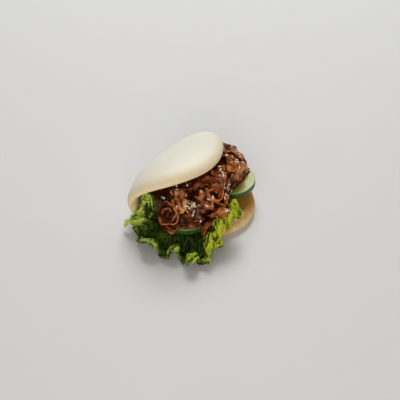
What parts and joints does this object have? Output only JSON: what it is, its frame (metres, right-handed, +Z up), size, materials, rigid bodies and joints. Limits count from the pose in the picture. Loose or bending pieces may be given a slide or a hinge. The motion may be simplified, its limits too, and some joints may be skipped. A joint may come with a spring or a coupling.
{
  "type": "beef gua bao",
  "caption": "Steamed bun folded over a leaf of lettuce, cucumber slices and a heap of crinkled glossy beef with sesame seeds.",
  "frame": {"origin": "on the table, under the middle of the whole footprint", "axes": "+X along the bun's fold, +Y from the open mouth to the fold, +Z up"},
  "size_m": [0.128, 0.0992, 0.0605],
  "materials": {
    "bao_bun": "soft steamed dough, matte",
    "lettuce_leaf": "fresh leaf, slightly waxy",
    "cucumber_slice_right": "wet flesh, dark green skin",
    "cucumber_slice_middle": "wet flesh, dark green skin",
    "cucumber_slice_front": "wet flesh, dark green skin",
    "beef_filling": "glazed with sauce"
  },
  "bodies": {
    "root": {"bao_bun": "bao_bun", "lettuce_leaf": "lettuce_leaf", "cucumber_slice_right": "cucumber_slice_right", "cucumber_slice_middle": "cucumber_slice_middle", "cucumber_slice_front": "cucumber_slice_front", "beef_filling": "beef_filling"}
  },
  "joints": []
}
